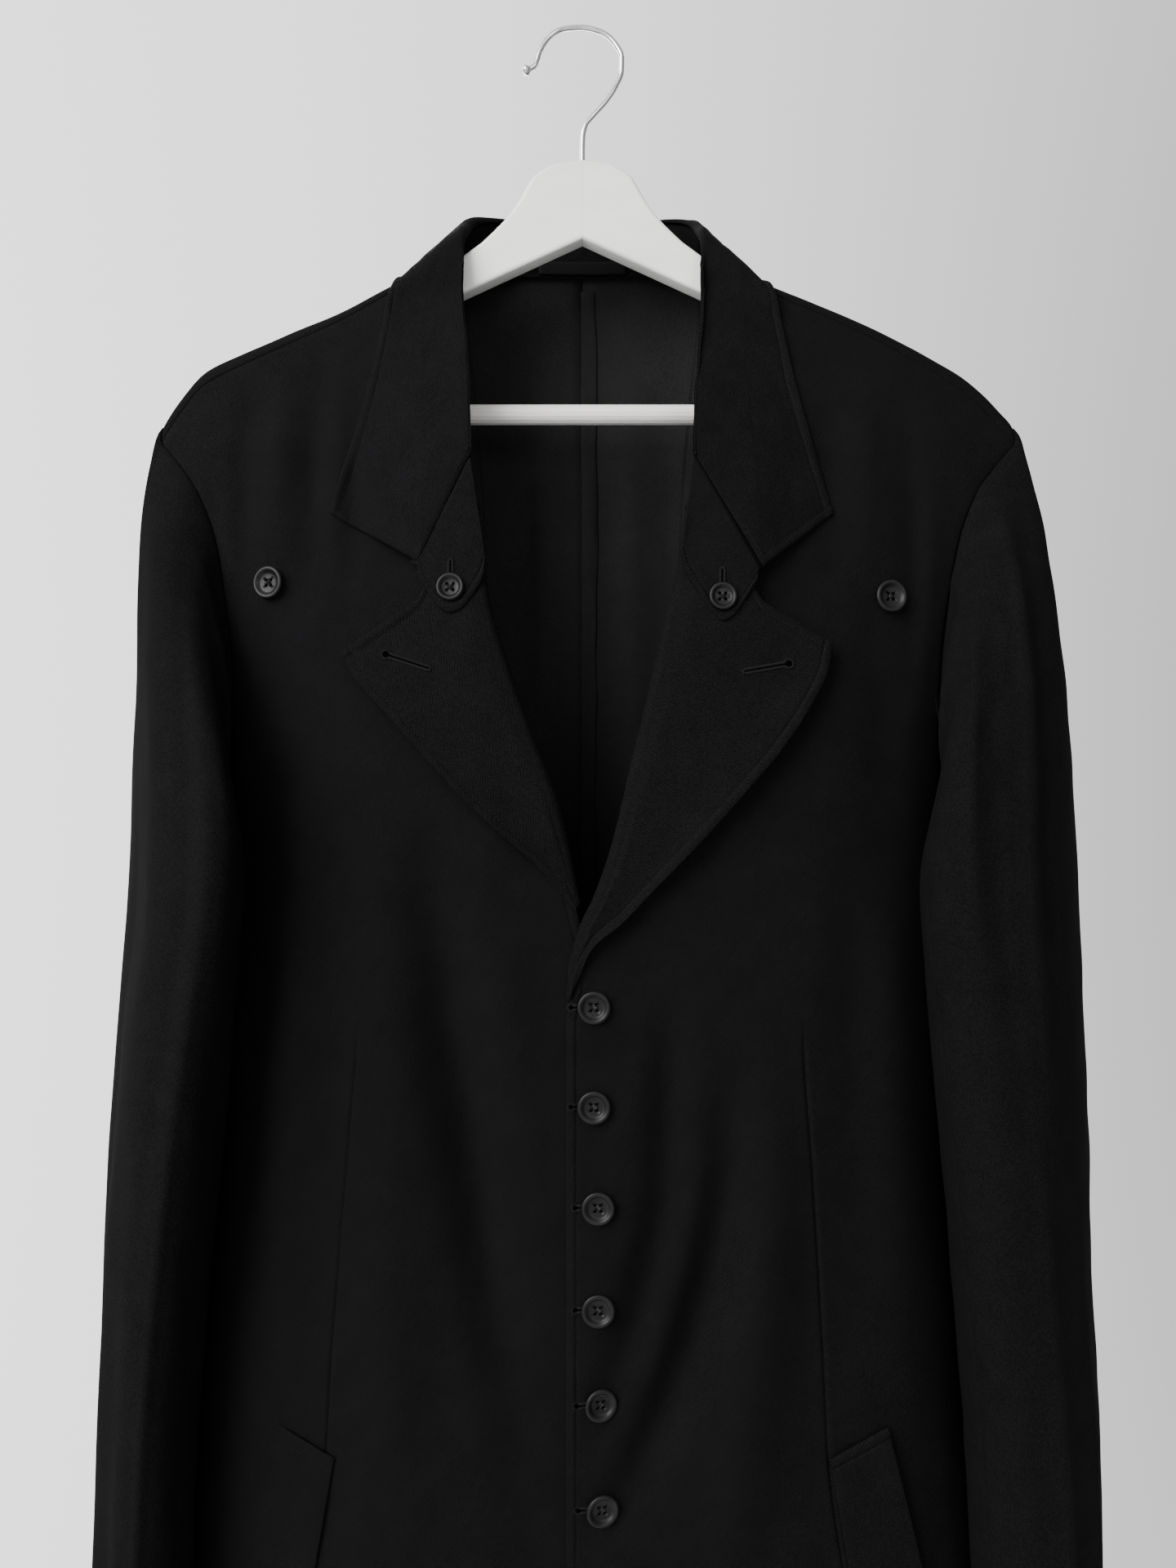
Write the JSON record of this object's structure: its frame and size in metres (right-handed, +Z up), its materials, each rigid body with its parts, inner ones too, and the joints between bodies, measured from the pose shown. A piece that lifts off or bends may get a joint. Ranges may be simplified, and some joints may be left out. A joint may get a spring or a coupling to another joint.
{
  "type": "long tailored coat on a hanger",
  "caption": "Long single-breasted tailored coat with wide notched lapels and a collar stand ending in buttoned tabs, hung on a flat wooden hanger with a wire hook.",
  "frame": {"origin": "inside top of the hanger's wire hook, where it rests on a peg or rail", "axes": "+Z up, -Y out of the coat's front, +X to the right as the front is seen, which is the wearer's left"},
  "size_m": [0.5689, 0.1857, 1.2732],
  "materials": {
    "cloth": "near-black wool twill, matt with a soft nap",
    "button": "near-black, smooth, four holes",
    "label": "bare woven band, near-black",
    "painted_wood": "wood with off-white paint, satin",
    "bar_paint": "light grey non-slip sleeve",
    "chrome": "bright plated wire"
  },
  "bodies": {
    "root": {"front_left": "cloth", "front_right": "cloth", "back_left": "cloth", "back_right": "cloth", "sleeve_top_left": "cloth", "sleeve_top_right": "cloth", "sleeve_under_left": "cloth", "sleeve_under_right": "cloth", "lapel_left": "cloth", "lapel_right": "cloth", "collar_fall": "cloth", "collar_stand": "cloth", "tab_left": "cloth", "tab_right": "cloth", "welt_left": "cloth", "welt_right": "cloth", "neck_facing": "cloth", "label": "label", "button_front_1": "button", "button_front_2": "button", "button_front_3": "button", "button_front_4": "button", "button_front_5": "button", "button_front_6": "button", "button_chest_left": "button", "button_chest_right": "button", "button_tab_left": "button", "button_tab_right": "button", "hanger": "painted_wood", "hanger_bar": "bar_paint", "hanger_hook": "chrome"}
  },
  "joints": []
}
